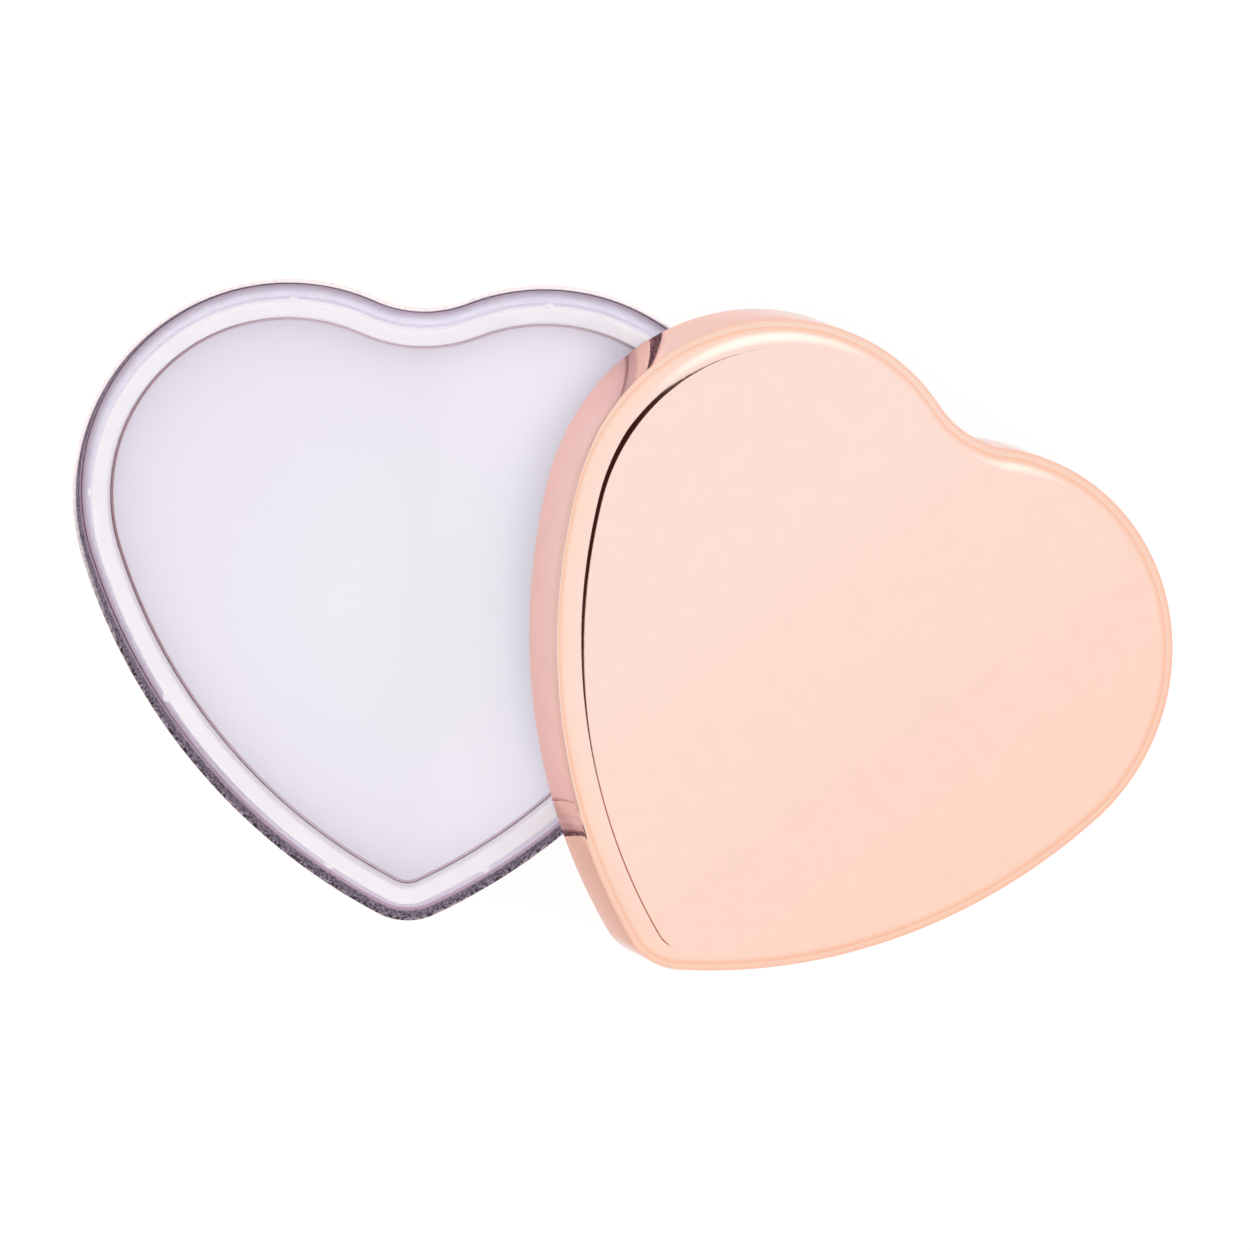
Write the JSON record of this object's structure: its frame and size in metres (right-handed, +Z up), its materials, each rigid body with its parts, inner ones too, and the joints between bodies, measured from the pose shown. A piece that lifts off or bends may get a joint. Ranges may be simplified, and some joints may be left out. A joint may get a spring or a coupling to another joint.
{
  "type": "wind-up music box",
  "caption": "Heart-shaped wind-up music box: pressed metal case with a lift-off polished lid, a covered pin-cylinder movement and a winding key recessed in its underside.",
  "frame": {"origin": "middle of the base's heart outline, on the surface that the box stands on", "axes": "+Z up, +Y from the tip towards the cleft between the lobes, +X towards the side where the lid leans"},
  "size_m": [0.1609, 0.0985, 0.046],
  "materials": {
    "case_metal": "raw pressed metal, finely pitted inside",
    "pad": "matt soft sheet",
    "white_moulding": "semi-gloss moulded",
    "rose_trim": "satin",
    "pale_panel": "fine matt",
    "rose_gold": "polished rose-gold plate",
    "cast_plate": "zinc casting, satin",
    "brass": "turned",
    "plated_steel": "nickel plated",
    "steel": "turned",
    "spring_steel": "hardened, blued",
    "black_plastic": "moulded"
  },
  "bodies": {
    "case": {"base_shell": "case_metal", "key_well": "case_metal", "base_pad": "pad", "neck_liner": "white_moulding", "panel_trim": "rose_trim", "cover_panel": "pale_panel", "bedplate": "cast_plate", "comb_anvil": "cast_plate", "bedplate_posts": "brass", "spring_housing": "plated_steel", "cylinder_bracket": "plated_steel", "governor_frame": "plated_steel", "bedplate_screws": "steel", "housing_screws": "steel", "frame_screws": "steel", "comb_screws": "steel", "comb": "spring_steel", "mainspring": "spring_steel"},
    "lid": {"lid_shell": "rose_gold", "lid_liner": "white_moulding"},
    "great_wheel": {"great_wheel": "brass"},
    "key": {"winding_key": "plated_steel", "winding_arbor": "steel", "clutch_spring": "spring_steel"},
    "cylinder": {"cylinder_shaft": "steel", "cylinder_pinion": "brass", "pin_cylinder": "brass", "cylinder_wheel": "brass"},
    "governor": {"governor_arbor": "steel", "worm_wheel": "brass"},
    "fly": {"worm_shaft": "steel", "air_brake": "black_plastic"}
  },
  "joints": [
    {"name": "lid_lift", "type": "slide", "parent": "case", "child": "lid", "axis": [0, 0, 1], "range_m": [0, 0.05]},
    {"name": "play", "type": "hinge", "parent": "case", "child": "great_wheel", "pos_m": [0, 0.017, 0.0195], "axis": [0, 0, -1], "continuous": true},
    {"name": "wind", "type": "hinge", "parent": "great_wheel", "child": "key", "pos_m": [0, 0.017, 0.0195], "axis": [0, 0, 1], "range_deg": [0, 1080]},
    {"name": "cylinder_turn", "type": "hinge", "parent": "case", "child": "cylinder", "pos_m": [-0.0228, 0.017, 0.0144], "axis": [-1, 0, 0], "continuous": true},
    {"name": "governor_turn", "type": "hinge", "parent": "case", "child": "governor", "pos_m": [-0.0342, 0.024, 0.0144], "axis": [1, 0, 0], "continuous": true},
    {"name": "fly_turn", "type": "hinge", "parent": "case", "child": "fly", "pos_m": [-0.0352, 0.0295, 0.0144], "axis": [0, 0, -1], "continuous": true}
  ],
  "couplings": [
    {"joint": "cylinder_turn", "follows": "play", "ratio": 3},
    {"joint": "governor_turn", "follows": "play", "ratio": 9},
    {"joint": "fly_turn", "follows": "play", "ratio": 180}
  ]
}
